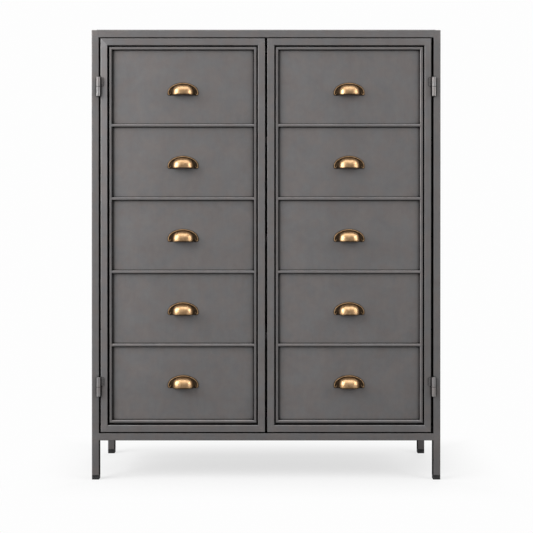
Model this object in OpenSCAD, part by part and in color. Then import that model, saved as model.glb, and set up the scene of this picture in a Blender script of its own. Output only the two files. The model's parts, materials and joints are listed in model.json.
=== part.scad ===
// Free-standing steel cabinet with a pair of tall hinged doors.
// Each door carries a stack of false drawer fronts, drawn by a raised bead with divider bars,
// and one cup pull for each of them.  Behind the doors are shelves.
// Right is +X, the doors face -Y and up is +Z.  The origin is on the floor, under the middle
// of the overall box.  All sizes are in millimetres.

/* [Case frame] */
// Width over the side faces of the posts
cab_w = 1100; // [900:10:1400]
// Depth over the front and rear faces of the posts
cab_d = 400; // [320:10:600]
// Height from the floor to the tops of the posts
frame_h = 1418.5; // [1200:0.5:1600]
// Height of the bottom rails above the floor
leg_h = 123.5; // [80:0.5:200]
// Side of the square case tube
tube_w = 24; // [24:0.5:30]
// Wall of the case tube and the door tube
tube_wall = 1.5; // [1.2:0.1:2]
// Corner radius of the case tube and the door tube
tube_r = 2.5; // [2.2:0.1:3.5]

/* [Case sheets] */
// Thickness of the top, floor, side and back sheets
sheet_t = 1.5; // [1:0.1:2]
// Setback of the side and back sheets from the outer faces of the tubes
side_set = 6; // [4:0.5:12]
// Inset of the top sheet from the front and rear faces of the tubes
top_inset = 8; // [6:0.5:20]
// Inset of the top sheet from the side faces of the tubes
top_side = 15.5; // [6:0.5:20]
// Depth of the floor sheet's face below the tops of the bottom rails
floor_drop = 4; // [3.5:0.5:8]

/* [Glides] */
// Height of a glide below the end of its leg
glide_h = 15; // [12:1:22]
// Length of the plug that holds a glide in its leg
plug_h = 18; // [10:1:30]

/* [Shelves] */
// Number of shelves
shelf_count = 3; // [1:1:4]
// Thickness of the shelf sheet
shelf_t = 1.5; // [1:0.1:2]
// Height of the shelf's folded front and rear lips
lip_h = 20; // [12:1:30]
// Distance from the case front to the front of a shelf
shelf_front = 30; // [29:1:60]
// Distance from the rear rails to the rear of a shelf
shelf_rear = 3; // [1:0.5:20]
// Gap between a shelf and the posts
shelf_play = 2.5; // [1:0.5:6]
// Width of the ledge that lies under the end of a shelf
ledge_reach = 15; // [10:1:25]
// Thickness of the shelf ledges
ledge_t = 2; // [1.5:0.5:3]
// Height of the upright leg of a shelf ledge
ledge_h = 20; // [12:1:30]

/* [Doors] */
// Side of the square door tube
door_tube = 22.5; // [19:0.5:22.5]
// Gap between a door and its post
gap_side = 4.25; // [2:0.25:5]
// Gap above and below a door
gap_end = 2; // [1:0.25:5]
// Gap between the two doors
gap_mid = 6.5; // [3:0.5:9]
// Depth of the door sheet's face behind the front of the door
panel_set = 12; // [11:0.5:15]
// Thickness of the door sheet
panel_t = 1.2; // [1:0.1:2]

/* [False drawer fronts] */
// Number of false drawer fronts on a door
drawer_count = 5; // [3:1:7]
// Width of the bead and of the divider bars
bead_w = 9; // [7:0.5:14]
// How far the bead stands out of the door sheet
bead_d = 9; // [6:0.5:10]
// Radius along the front edges of the bead
bead_r = 2.5; // [1:0.25:3]
// Groove between the bead and the door tube, at the sides and the top
bead_gap = 4.5; // [2:0.5:8]
// Groove between the bead and the bottom tube of the door
sill_gap = 6.5; // [2:0.5:10]
// How much taller the top drawer front is than a middle one
top_extra = 12; // [0:1:20]
// How much taller the bottom drawer front is than a middle one
bottom_extra = 10; // [0:1:20]

/* [Cup pulls] */
// Width of the flange
pull_w = 98; // [90:1:120]
// Height of the flange from its top to the ends of its ears
pull_h = 40; // [38:0.5:46]
// Radius of the small arcs at the ends of the flange's oval
pull_end = 24; // [18:0.5:27]
// Thickness of the flange
flange_t = 1.8; // [1.5:0.1:2.2]
// Width of the raised rim along the flange's edge
rim_w = 3.6; // [2.6:0.2:4.2]
// How far the rim stands out of the flange
rim_t = 1.9; // [1.2:0.1:2.4]
// Radius of the ears
ear_r = 6; // [5.5:0.25:7]
// How far the ears hang below the edge of the hood
ear_drop = 3.5; // [2:0.25:5]
// Width of the hood
hood_w = 72; // [68:1:76]
// Height and reach of the hood
hood_r = 28; // [26:0.5:30]
// Radius of the small arcs at the ends of the hood's oval
hood_end = 20; // [16:0.5:22]
// Wall of the hood
hood_t = 2; // [1.5:0.1:3]
// Width of the step round the foot of the hood
step_w = 2.2; // [1:0.1:3]
// How far that step stands out of the flange
step_t = 1.2; // [0.6:0.1:2]
// Distance between the two screws of a pull
screw_pitch = 50; // [46:0.5:54]
// Radius of the screw shanks
screw_r = 2; // [1.5:0.1:2.2]
// Height of a screw head
head_t = 2.4; // [1.6:0.1:3]
// Distance from the middle of a drawer front down to the middle of its pull
pull_low = 0.4; // [0:0.2:10]

/* [Hinges] */
// Length of a hinge
hinge_len = 60; // [50:1:80]
// Radius of the hinge barrel
barrel_r = 6; // [5:0.25:7]
// Distance from the middle of the side gap to the pin, towards the post
pin_shift = 4; // [3:0.5:5]
// Gap between the barrel and the front of the post
barrel_gap = 0.3; // [0.2:0.1:1]
// Radius of the hinge pin
pin_r = 2.5; // [2:0.1:3]
// Radial play of the pin in its socket
pin_play = 0.05; // [0.02:0.01:0.09]
// Thickness of the washer between the two knuckles
washer_t = 1; // [0.6:0.1:1.5]
// Width of the door's hinge leaf beyond the barrel
leaf_w = 10; // [8:0.5:14]
// Thickness of the door's hinge leaf
leaf_t = 2; // [1.5:0.25:2.5]
// Distance from the top of a door to the middle of its upper hinge
hinge_down = 153; // [100:0.5:250]
// Distance from the bottom of a door to the middle of its lower hinge
hinge_up = 144.5; // [100:0.5:250]

/* [Door stop and catches] */
// Distance from the ends of the stop strip to the posts
stop_inset = 5; // [1:0.5:20]
// Thickness of the stop strip behind the top front rail
stop_t = 2; // [1.5:0.5:3]
// Height of the stop strip's upper part, behind the top front rail
stop_lap = 14; // [10:1:20]
// How far the stop strip reaches down behind the doors
stop_drop = 10; // [9:0.5:12]
// Gap between a closed door and the bumpers and magnets
rest_gap = 0.3; // [0.2:0.1:0.5]
// Radius of a bumper
bumper_r = 4; // [3:0.25:4.25]
// Distance from the meeting edge of a door to its inner bumper
bumper_in = 22; // [12:1:34]
// Distance from the hinge edge of a door to its outer bumper
bumper_out = 30; // [12:1:60]
// Width of a catch
catch_w = 44; // [38:1:60]
// Depth of a catch behind the stop strip
catch_d = 13; // [10:1:18]
// Thickness of a catch beside its magnet
catch_side = 5; // [3:0.5:8]
// Distance from the meeting edge of a door to the middle of its catch
catch_in = 60; // [45:1:120]

/* [Hidden] */
$fn = 48;
over = 1;                             // reach of a cutting shape past what it cuts
sunk = 0.01;                          // overlap of two shapes of one solid that would only touch

steel = [0.42, 0.41, 0.40];
plated = [0.55, 0.54, 0.52];
brass = [0.76, 0.58, 0.36];
black = [0.06, 0.06, 0.06];

hood_proud = hood_r - panel_set;
front_y = -(cab_d - max(hood_proud, 2 * barrel_r + barrel_gap)) / 2;

floor_z = leg_h + tube_w;             // tops of the bottom rails
roof_z = frame_h - tube_w;            // undersides of the top rails
post_x = (cab_w - tube_w) / 2;
bay_w = cab_w - 2 * tube_w;           // clear width between the posts
bay_d = cab_d - 2 * tube_w;           // clear depth between the posts
tube_bend = max(tube_r - tube_wall, 0.4);   // corner radius inside a tube
cope_share = 0.8;                     // of a corner's radius, covered by the coped end that meets it
cope = cope_share * tube_r;
plug_play = 0.15;                     // between a glide's plug and the walls of its leg

shelf_step = (roof_z - floor_z) / (shelf_count + 1);
shelf_w = bay_w - 2 * shelf_play;
shelf_back = cab_d - tube_w - shelf_rear;
shelf_bend = 3;                       // outer radius of a shelf's folds
ledge_play = 2;                       // between a shelf's lips and its ledges
ledge_x = cab_w / 2 - side_set - sheet_t;

door_bottom = floor_z + gap_end;
door_top = roof_z - gap_end;
door_h = door_top - door_bottom;
door_w = (bay_w - 2 * gap_side - gap_mid) / 2;
door_x = -(gap_mid + door_w) / 2;     // middle of the left door

field_w = door_w - 2 * (door_tube + bead_gap);
field_bottom = door_bottom + door_tube + sill_gap;
field_top = door_top - door_tube - bead_gap;
drawer_h = (field_top - field_bottom - (drawer_count + 1) * bead_w - top_extra - bottom_extra)
           / drawer_count;
drawer_step = drawer_h + bead_w;
bead_cope = cope_share * bead_r;
divider_top = field_top - bead_w - drawer_h - top_extra;    // top edge of the first divider
pull_mid = divider_top - bead_w - drawer_h / 2 - pull_low;  // middle of the second pull

post_edge = pin_shift - gap_side / 2; // from the pin to the post's edge, towards the door
hinge_x = -cab_w / 2 + tube_w - post_edge;
hinge_y = -barrel_r - barrel_gap;
hinge_zs = [door_bottom + hinge_up, door_top - hinge_down];
hinge_play = 0.2;                     // between the washer and the upper knuckle
knuckle_h = (hinge_len - washer_t - hinge_play) / 2;
knuckle_cap = 4;                      // solid end of a knuckle, past its bore
knuckle_chamfer = 0.8;
pin_short = 1;                        // how much shorter a pin is than its two bores
leaf_inset = 2;                       // from the end of a knuckle to its leaf
leaf_h = knuckle_h - 2 * leaf_inset;
leaf_gap = 0.25;                      // sideways, between the door's leaf and the post

stop_top = roof_z + stop_lap;
stop_low = door_top - stop_drop;
stop_back = tube_w + stop_t;
door_back = door_tube + rest_gap;     // the bumpers and magnets end here
catch_x = gap_mid / 2 + catch_in;
catch_h = 28;
nose_h = 11;
nose_wall = 2.5;                      // above and below the magnet
nose_drop = 1.5;                      // from the stop strip down to the nose of a catch
catch_low = stop_low - nose_h - nose_drop;
catch_screw_z = (stop_low + catch_low + catch_h) / 2;
catch_screw_in = 8;                   // from the end of a catch to its screw
catch_screw_x = catch_w / 2 - catch_screw_in;
magnet_play = 0.1;
magnet_bed = 4;                       // depth of the magnet in the body behind the strip
magnet_back = stop_back + magnet_bed;
nose_back = 1;                        // from the magnet's poles to the front of the nose

ear_z = ear_r - ear_drop;             // middle of an ear, above the edge of the hood
flange_oval = [pull_w / 2, pull_h - ear_drop - ear_z, pull_end];
hood_oval = [hood_w / 2, hood_r, hood_end];
rim_edge = 0.3;                       // from the flange's edge to its rim
rim_step = 0.7;                       // width of the lower step on each side of the rim
rim_low = 0.6 * rim_t;                // height of that step
boss_wall = 1.8;                      // round a screw, inside the hood
boss_r = screw_r + boss_wall;
boss_h = 10;
screw_z = 7;                          // height of the screws above the edge of the hood
screw_play = 0.05;                    // round a screw in its thread
screw_hole_play = 0.3;                // round a screw in the door sheet
screw_bite = 8;                       // reach of a pull screw into its boss
head_r = 1.9 * screw_r;

// ---- Sections and shared shapes ----

module rounded_rect(w, h, r) {
    square([w, h - 2 * r], center = true);
    square([w - 2 * r, h], center = true);
    for (x = [-1, 1], y = [-1, 1]) translate([x * (w / 2 - r), y * (h / 2 - r)]) circle(r = r);
}

module tube_section(w) {
    difference() {
        rounded_rect(w, w, tube_r);
        rounded_rect(w - 2 * tube_wall, w - 2 * tube_wall, tube_bend);
    }
}

// The upper half of an oval of three arcs, o being its half width, its height and the radius of its
// small end arcs.  The small arcs are centred on the X axis and the large one below it.
function large_r(o) = (o[0] * o[0] + o[1] * o[1] - 2 * o[0] * o[2]) / (2 * (o[1] - o[2]));
function end_x(o) = o[0] - o[2];
function large_z(o) = o[1] - large_r(o);
function end_angle(o) = atan2(-large_z(o), end_x(o));

module half_oval(o, grow = 0) {
    ray = 3 * large_r(o);             // past the large arc
    side = [ray * cos(end_angle(o)), large_z(o) + ray * sin(end_angle(o))];
    intersection() {
        union() {
            for (s = [-1, 1]) translate([s * end_x(o), 0]) circle(r = o[2] + grow);
            intersection() {
                translate([0, large_z(o)]) circle(r = large_r(o) + grow);
                polygon([[0, large_z(o)], side, [-side[0], side[1]]]);
            }
        }
        translate([-2 * o[0], 0]) square([4 * o[0], 2 * o[0]]);
    }
}

// Draws a part twice, the second time mirrored to the other side of the cabinet.
module both_sides() {
    children();
    mirror([1, 0, 0]) children();
}

module from_front() translate([0, front_y, 0]) children();

// ---- Case frame ----

module post_outer(h) linear_extrude(h) rounded_rect(tube_w, tube_w, tube_r);

// Side view of a post, with its outer top edge rounded like the rail that meets it.
module post_view(s) {
    w = tube_w + 2 * over;
    translate([-w / 2, 0]) square([w, frame_h - tube_r]);
    translate([s > 0 ? -w / 2 : tube_r - tube_w / 2, 0]) square([w / 2 + tube_w / 2 - tube_r, frame_h]);
    translate([s * (tube_w / 2 - tube_r), frame_h - tube_r]) circle(r = tube_r);
}

module post(sx, sy) {
    inner = tube_w - 2 * tube_wall;
    color(steel) from_front() translate([sx * post_x, sy > 0 ? cab_d - tube_w / 2 : tube_w / 2, 0])
        difference() {
            intersection() {
                translate([0, 0, glide_h]) post_outer(frame_h - glide_h);
                rotate([90, 0, 0]) linear_extrude(tube_w + 2 * over, center = true) post_view(sx);
                rotate([90, 0, 90]) linear_extrude(tube_w + 2 * over, center = true) post_view(sy);
            }
            translate([0, 0, glide_h - over]) linear_extrude(frame_h - glide_h - tube_wall + over)
                rounded_rect(inner, inner, tube_bend);
        }
}

// A rail along X whose outer side faces -Y.  Its ends are coped over the posts' outer corners.
module rail(len) {
    color(steel) difference() {
        rotate([0, 90, 0]) linear_extrude(len + 2 * cope, center = true) tube_section(tube_w);
        for (s = [-1, 1]) translate([s * (len + tube_w) / 2, 0, -tube_w / 2 - over]) {
            post_outer(tube_w + 2 * over);
            translate([-tube_w / 2, 0, 0]) cube([tube_w, tube_w, tube_w + 2 * over]);
        }
    }
}

module front_rail(z) from_front() translate([0, tube_w / 2, z]) rail(bay_w);

module rear_rail(z) from_front() translate([0, cab_d - tube_w / 2, z]) rotate(180) rail(bay_w);

module side_rail(s, z) from_front() translate([s * post_x, cab_d / 2, z]) rotate(s * 90) rail(bay_d);

top_rail_z = frame_h - tube_w / 2;
bottom_rail_z = leg_h + tube_w / 2;

// ---- Case sheets ----

module top_sheet() color(steel) from_front()
    translate([top_side - cab_w / 2, top_inset, frame_h])
        cube([cab_w - 2 * top_side, cab_d - 2 * top_inset, sheet_t]);

module floor_sheet() color(steel) from_front()
    translate([-bay_w / 2, tube_w, floor_z - floor_drop - sheet_t]) cube([bay_w, bay_d, sheet_t]);

module side_sheet() color(steel) from_front()
    translate([side_set - cab_w / 2, tube_w, floor_z]) cube([sheet_t, bay_d, roof_z - floor_z]);

module back_sheet() color(steel) from_front()
    translate([-bay_w / 2, cab_d - side_set - sheet_t, floor_z]) cube([bay_w, sheet_t, roof_z - floor_z]);

// ---- Glides ----

// Side view of the pad of a glide: rounded where it meets the floor, eased at its upper edge.
module glide_pad_view(w, h) {
    foot_r = 3;
    top_r = 1;
    translate([-w / 2, foot_r]) square([w, h - foot_r - top_r]);
    translate([foot_r - w / 2, 0]) square([w - 2 * foot_r, h]);
    translate([top_r - w / 2, h - 2 * top_r]) square([w - 2 * top_r, 2 * top_r]);
    for (s = [-1, 1]) {
        translate([s * (w / 2 - foot_r), foot_r]) circle(r = foot_r);
        translate([s * (w / 2 - top_r), h - top_r]) circle(r = top_r);
    }
}

// A rubber pad, a groove, a collar under the tube's end and a plug inside the tube.
module glide() {
    pad_h = 0.5 * glide_h;
    groove_h = 1;
    groove_d = 0.8;
    neck_w = tube_w - 2 * groove_d;
    plug_r = 1;
    plug_w = tube_w - 2 * tube_wall - 2 * plug_play;
    intersection() {
        linear_extrude(pad_h) rounded_rect(tube_w, tube_w, tube_r);
        rotate([90, 0, 0]) linear_extrude(tube_w + 2 * over, center = true) glide_pad_view(tube_w, pad_h);
        rotate([90, 0, 90]) linear_extrude(tube_w + 2 * over, center = true) glide_pad_view(tube_w, pad_h);
    }
    translate([0, 0, pad_h - over]) linear_extrude(groove_h + 2 * over) rounded_rect(neck_w, neck_w, tube_r);
    translate([0, 0, pad_h + groove_h]) linear_extrude(glide_h - pad_h - groove_h)
        rounded_rect(tube_w, tube_w, tube_r);
    translate([0, 0, glide_h - over]) linear_extrude(plug_h + over) rounded_rect(plug_w, plug_w, plug_r);
}

module glides() color(black) from_front()
    for (x = [-1, 1], y = [tube_w / 2, cab_d - tube_w / 2]) translate([x * post_x, y, 0]) glide();

// ---- Shelves ----

// End view of a shelf: a flat sheet with its front and rear edges folded down.
module shelf_view(inset) {
    d = shelf_back - shelf_front;
    r = shelf_bend - inset;
    translate([shelf_front + inset, 0]) {
        translate([0, -lip_h - inset]) square([d - 2 * inset, lip_h - r]);
        translate([r, -r - inset]) square([d - 2 * inset - 2 * r, r]);
        translate([r, -r - inset]) circle(r = r);
        translate([d - 2 * inset - r, -r - inset]) circle(r = r);
    }
}

module shelf(k) {
    notch = ledge_reach + shelf_play + ledge_play;
    color(steel) from_front() translate([0, 0, floor_z + k * shelf_step]) difference() {
        rotate([90, 0, 90]) linear_extrude(shelf_w, center = true) difference() {
            shelf_view(0);
            shelf_view(shelf_t);
        }
        both_sides() translate([shelf_w / 2 - notch, 0, -shelf_t - lip_h])
            cube([notch + over, cab_d, lip_h]);
    }
}

// A steel angle between the posts, under the end of each shelf.
module shelf_ledge(z) translate([-ledge_x, tube_w, z - shelf_t]) {
    translate([0, 0, -ledge_t]) cube([ledge_x - bay_w / 2 + shelf_play + ledge_reach, bay_d, ledge_t]);
    translate([0, 0, -ledge_h]) cube([ledge_t, bay_d, ledge_h]);
}

module shelf_ledges() color(steel) from_front() both_sides()
    for (k = [1 : shelf_count]) shelf_ledge(floor_z + k * shelf_step);

// ---- Door stop and catches ----

module catch_screw_places() both_sides() for (s = [-1, 1])
    translate([catch_x + s * catch_screw_x, stop_back, catch_screw_z]) rotate([-90, 0, 0]) children();

module stop_strip() color(steel) from_front() difference() {
    translate([stop_inset - bay_w / 2, tube_w, stop_low])
        cube([bay_w - 2 * stop_inset, stop_t, stop_top - stop_low]);
    catch_screw_places() translate([0, 0, -stop_t - over])
        cylinder(r = screw_r + screw_play, h = stop_t + 2 * over);
}

module stop_bumpers() color(black) from_front()
    both_sides() for (x = [gap_mid / 2 + bumper_in, bay_w / 2 - gap_side - bumper_out])
        translate([x, tube_w, door_top - stop_drop / 2]) rotate([90, 0, 0])
            cylinder(r = bumper_r, h = tube_w - door_back);

module catch_bodies() color(black) from_front() both_sides() difference() {
    translate([catch_x - catch_w / 2, 0, catch_low]) {
        translate([0, stop_back, 0]) cube([catch_w, catch_d, catch_h]);
        translate([0, door_back + nose_back, 0]) cube([catch_w, catch_d, nose_h]);
    }
    translate([catch_x - catch_w / 2 + catch_side, 0, catch_low + nose_wall])
        cube([catch_w - 2 * catch_side, magnet_back, nose_h - 2 * nose_wall]);
    catch_screw_places() translate([0, 0, -over])
        cylinder(r = screw_r + screw_play, h = catch_d + 2 * over);
}

// The magnet and the two pole plates that stand a little out of the catch.
module catch_magnets() color(plated) from_front() both_sides()
    translate([catch_x - catch_w / 2 + catch_side + magnet_play, door_back,
               catch_low + nose_wall + magnet_play])
        cube([catch_w - 2 * (catch_side + magnet_play), magnet_back - door_back,
              nose_h - 2 * (nose_wall + magnet_play)]);

// A shank along +Z from the origin, with its head beyond its end.
module screw(len) {
    cylinder(r = screw_r, h = len);
    translate([0, 0, len]) cylinder(r = head_r, h = head_t);
}

module catch_screws() color(plated) from_front() catch_screw_places()
    translate([0, 0, -stop_t - over]) screw(catch_d + stop_t + over);

// ---- Hinges, seen from the middle of the pin ----

module knuckle() rotate_extrude() polygon([
    [0, 0], [barrel_r - knuckle_chamfer, 0], [barrel_r, knuckle_chamfer],
    [barrel_r, knuckle_h - knuckle_chamfer / 2], [barrel_r - knuckle_chamfer / 2, knuckle_h],
    [0, knuckle_h]]);

// A knuckle with its bore open at the top, and what carries it as its children.
module hinge_half() difference() {
    union() {
        knuckle();
        translate([0, 0, leaf_inset]) children();
    }
    translate([0, 0, knuckle_cap]) cylinder(r = pin_r + pin_play, h = knuckle_h);
}

module at_hinges() from_front() for (z = hinge_zs) translate([hinge_x, hinge_y, z]) children();

// The lower knuckle stands on the flat of the post, on a foot that hides behind it.
module left_pintles() color(steel) at_hinges() translate([0, 0, -hinge_len / 2]) hinge_half()
    translate([-barrel_r, 0, 0]) cube([barrel_r + post_edge - tube_r, -hinge_y, leaf_h]);

// The upper knuckle has a neck beside the post's edge and a leaf on the face of the door's stile.
module left_sockets() color(steel) at_hinges() mirror([0, 0, 1]) translate([0, 0, -hinge_len / 2])
    hinge_half() {
        start = post_edge + leaf_gap;
        translate([start, 0, 0]) cube([barrel_r - start, -hinge_y, leaf_h]);
        translate([start, -hinge_y - leaf_t, 0]) cube([barrel_r + leaf_w - start, leaf_t, leaf_h]);
    }

module hinge_pins() color(plated) both_sides() at_hinges()
    translate([0, 0, knuckle_cap - hinge_len / 2])
        cylinder(r = pin_r, h = hinge_len - 2 * knuckle_cap - pin_short);

module hinge_washers() color(plated) both_sides() at_hinges()
    translate([0, 0, knuckle_h - hinge_len / 2]) difference() {
        cylinder(r = barrel_r, h = washer_t);
        translate([0, 0, -over]) cylinder(r = pin_r + pin_play, h = washer_t + 2 * over);
    }

// ---- Doors, built as the left one ----

// A door tube with mitred ends.  It stands along Z and its outer side faces -X.
module mitred_tube(len) intersection() {
    linear_extrude(len, center = true) tube_section(door_tube);
    mitre_view(door_tube, len);
}

// Cuts both ends of a member at 45 degrees, the longer side being at -X.
module mitre_view(w, len) rotate([90, 0, 0]) linear_extrude(4 * w, center = true)
    polygon([[-w / 2 - over, -len / 2 - over], [w / 2 + over, w - len / 2 + over],
             [w / 2 + over, len / 2 - w - over], [-w / 2 - over, len / 2 + over]]);

// One side of a frame around the middle of the left door, w wide and between two heights, whose
// members are bar wide: 0 is its hinge side, 1 its top, 2 its meeting side and 3 its bottom.
module frame_side(k, w, low, high, bar, y)
    translate([door_x + (k == 0 ? bar - w : k == 2 ? w - bar : 0) / 2, y,
               k == 1 ? high - bar / 2 : k == 3 ? low + bar / 2 : (low + high) / 2])
        rotate([0, k * 90, 0]) children();

module door_side(k) color(steel) from_front()
    frame_side(k, door_w, door_bottom, door_top, door_tube, door_tube / 2)
        mitred_tube(k % 2 == 0 ? door_h : door_w);

module left_door_sheet() color(steel) from_front() difference() {
    translate([door_x - door_w / 2 + door_tube, panel_set, door_bottom + door_tube])
        cube([door_w - 2 * door_tube, panel_t, door_h - 2 * door_tube]);
    for (k = [1 : drawer_count]) at_pull(k) pull_screw_places()
        translate([0, 0, -panel_t - over]) cylinder(r = screw_r + screw_hole_play, h = panel_t + 2 * over);
}

// Section of the bead: flat on the sheet, with rounded front edges.  The front is at y = 0.
module bead_section() {
    translate([-bead_w / 2, bead_r]) square([bead_w, bead_d - bead_r]);
    translate([bead_r - bead_w / 2, 0]) square([bead_w - 2 * bead_r, bead_d]);
    for (s = [-1, 1]) translate([s * (bead_w / 2 - bead_r), bead_r]) circle(r = bead_r);
}

module bead_side(k) {
    len = k % 2 == 0 ? field_top - field_bottom : field_w;
    frame_side(k, field_w, field_bottom, field_top, bead_w, panel_set - bead_d) intersection() {
        linear_extrude(len, center = true) bead_section();
        mitre_view(bead_w, len);
    }
}

module left_bead_stiles() color(steel) from_front() {
    bead_side(0);
    bead_side(2);
}

// The divider bars run between the bead stiles and are coped over their rounded front edges.
module left_bead_rails() color(steel) from_front() {
    bead_side(1);
    bead_side(3);
    difference() {
        for (k = [0 : drawer_count - 2])
            translate([door_x, panel_set - bead_d, divider_top - bead_w / 2 - k * drawer_step])
                rotate([0, 90, 0]) linear_extrude(field_w - 2 * bead_w + 2 * bead_cope, center = true)
                    bead_section();
        bead_side(0);
        bead_side(2);
    }
}

// ---- Cup pulls: the sheet is at y = 0 and the edge of the hood at z = 0 ----

module at_pull(k) translate([door_x, panel_set, pull_mid - (k - 2) * drawer_step - pull_h / 2 + ear_drop])
    children();

// The places of the two screws, from where Z points out of the door sheet.
module pull_screw_places() for (s = [-1, 1])
    translate([s * screw_pitch / 2, 0, screw_z]) rotate([90, 0, 0]) children();

// A hood is half an oval turned about the X axis, and only its upper front quarter is kept.
module hood_form(grow) intersection() {
    rotate([0, 90, 0]) rotate_extrude() rotate(-90) half_oval(hood_oval, grow);
    translate([-hood_w, -2 * hood_r, 0]) cube([2 * hood_w, 2 * hood_r, 2 * hood_r]);
}

module flange_view() {
    translate([0, ear_z]) half_oval(flange_oval);
    translate([-hood_w / 2 - step_w, 0]) square([hood_w + 2 * step_w, ear_z]);
    for (s = [-1, 1]) translate([s * (pull_w / 2 - ear_r), ear_z]) circle(r = ear_r);
}

// The rim follows the flange's oval and turns in round its ears, inset from both of its own edges.
module rim_view(inset) translate([0, ear_z]) {
    outer = rim_edge + inset;
    inner = rim_edge + rim_w - inset;
    difference() {
        half_oval(flange_oval, -outer);
        half_oval(flange_oval, -inner);
    }
    for (s = [-1, 1]) translate([s * (pull_w / 2 - ear_r), 0]) difference() {
        circle(r = ear_r - outer);
        circle(r = ear_r - inner);
        translate([-ear_r, 0]) square([2 * ear_r, ear_r]);
    }
}

module cup_pull() color(brass) difference() {
    union() {
        hood_form(0);
        rotate([90, 0, 0]) linear_extrude(flange_t) flange_view();
        rotate([90, 0, 0]) linear_extrude(flange_t + step_t) half_oval(hood_oval, step_w);
        rotate([90, 0, 0]) linear_extrude(flange_t + rim_low) rim_view(0);
        rotate([90, 0, 0]) linear_extrude(flange_t + rim_t) rim_view(rim_step);
    }
    difference() {
        translate([0, 0, -sunk]) hood_form(-hood_t);
        pull_screw_places() cylinder(r = boss_r, h = boss_h);
    }
    pull_screw_places() translate([0, 0, -over]) cylinder(r = screw_r + screw_play, h = boss_h);
}

module pull(k) from_front() at_pull(k) cup_pull();

module left_pull_screws() color(plated) from_front() for (k = [1 : drawer_count]) at_pull(k)
    pull_screw_places() translate([0, 0, screw_bite]) mirror([0, 0, 1]) screw(screw_bite + panel_t);

post(-1, -1);  // front_left_post
post(1, -1);  // front_right_post
post(-1, 1);  // rear_left_post
post(1, 1);  // rear_right_post
front_rail(top_rail_z);  // top_front_rail
rear_rail(top_rail_z);  // top_rear_rail
side_rail(-1, top_rail_z);  // top_left_rail
side_rail(1, top_rail_z);  // top_right_rail
front_rail(bottom_rail_z);  // bottom_front_rail
rear_rail(bottom_rail_z);  // bottom_rear_rail
side_rail(-1, bottom_rail_z);  // bottom_left_rail
side_rail(1, bottom_rail_z);  // bottom_right_rail
top_sheet();
floor_sheet();
side_sheet();  // left_side_sheet
mirror([1, 0, 0]) side_sheet();  // right_side_sheet
back_sheet();
shelf(1);  // lower_shelf
/* middle_shelf */ if (shelf_count > 1) shelf(2);
/* upper_shelf */ if (shelf_count > 2) shelf(3);
shelf_ledges();
glides();
stop_strip();
stop_bumpers();
catch_bodies();
catch_magnets();
catch_screws();
left_pintles();  // left_hinge_pintles
mirror([1, 0, 0]) left_pintles();  // right_hinge_pintles
hinge_pins();
hinge_washers();
door_side(0);  // left_hinge_stile
door_side(2);  // left_meeting_stile
door_side(1);  // left_door_top_rail
door_side(3);  // left_door_bottom_rail
left_door_sheet();
left_bead_stiles();
left_bead_rails();
pull(1);  // left_pull_1
pull(2);  // left_pull_2
pull(3);  // left_pull_3
pull(4);  // left_pull_4
pull(5);  // left_pull_5
left_pull_screws();
left_sockets();  // left_hinge_sockets
mirror([1, 0, 0]) door_side(0);  // right_hinge_stile
mirror([1, 0, 0]) door_side(2);  // right_meeting_stile
mirror([1, 0, 0]) door_side(1);  // right_door_top_rail
mirror([1, 0, 0]) door_side(3);  // right_door_bottom_rail
mirror([1, 0, 0]) left_door_sheet();  // right_door_sheet
mirror([1, 0, 0]) left_bead_stiles();  // right_bead_stiles
mirror([1, 0, 0]) left_bead_rails();  // right_bead_rails
mirror([1, 0, 0]) pull(1);  // right_pull_1
mirror([1, 0, 0]) pull(2);  // right_pull_2
mirror([1, 0, 0]) pull(3);  // right_pull_3
mirror([1, 0, 0]) pull(4);  // right_pull_4
mirror([1, 0, 0]) pull(5);  // right_pull_5
mirror([1, 0, 0]) left_pull_screws();  // right_pull_screws
mirror([1, 0, 0]) left_sockets();  // right_hinge_sockets
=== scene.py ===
import json
import math

import bmesh
import bpy
import numpy as np
from mathutils import Matrix, Vector

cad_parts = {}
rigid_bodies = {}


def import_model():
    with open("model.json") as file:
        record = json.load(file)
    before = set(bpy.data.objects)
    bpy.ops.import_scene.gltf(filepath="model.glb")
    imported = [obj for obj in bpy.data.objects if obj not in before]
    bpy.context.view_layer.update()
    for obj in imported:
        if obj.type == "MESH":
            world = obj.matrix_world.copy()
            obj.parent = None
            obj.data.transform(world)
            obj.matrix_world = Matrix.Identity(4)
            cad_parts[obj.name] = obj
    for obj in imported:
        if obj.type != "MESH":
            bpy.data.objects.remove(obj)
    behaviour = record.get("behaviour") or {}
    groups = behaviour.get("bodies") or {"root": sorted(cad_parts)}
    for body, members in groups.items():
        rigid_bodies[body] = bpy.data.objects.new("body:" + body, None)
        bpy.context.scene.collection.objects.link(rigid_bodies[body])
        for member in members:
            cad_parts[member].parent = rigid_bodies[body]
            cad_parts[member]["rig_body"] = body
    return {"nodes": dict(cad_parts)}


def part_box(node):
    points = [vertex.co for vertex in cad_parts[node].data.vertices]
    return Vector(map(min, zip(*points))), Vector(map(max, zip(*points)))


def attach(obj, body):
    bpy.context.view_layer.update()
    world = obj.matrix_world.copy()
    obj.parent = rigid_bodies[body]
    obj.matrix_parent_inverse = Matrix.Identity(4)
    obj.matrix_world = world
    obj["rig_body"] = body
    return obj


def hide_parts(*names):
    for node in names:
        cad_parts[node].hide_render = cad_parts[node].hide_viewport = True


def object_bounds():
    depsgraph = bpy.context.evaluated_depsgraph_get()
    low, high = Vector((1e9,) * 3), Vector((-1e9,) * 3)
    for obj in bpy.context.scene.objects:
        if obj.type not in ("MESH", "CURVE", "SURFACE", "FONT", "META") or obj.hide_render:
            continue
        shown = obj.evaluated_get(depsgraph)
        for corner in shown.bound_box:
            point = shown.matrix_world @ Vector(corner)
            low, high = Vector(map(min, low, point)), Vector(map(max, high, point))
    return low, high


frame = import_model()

nodes = frame["nodes"]
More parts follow.
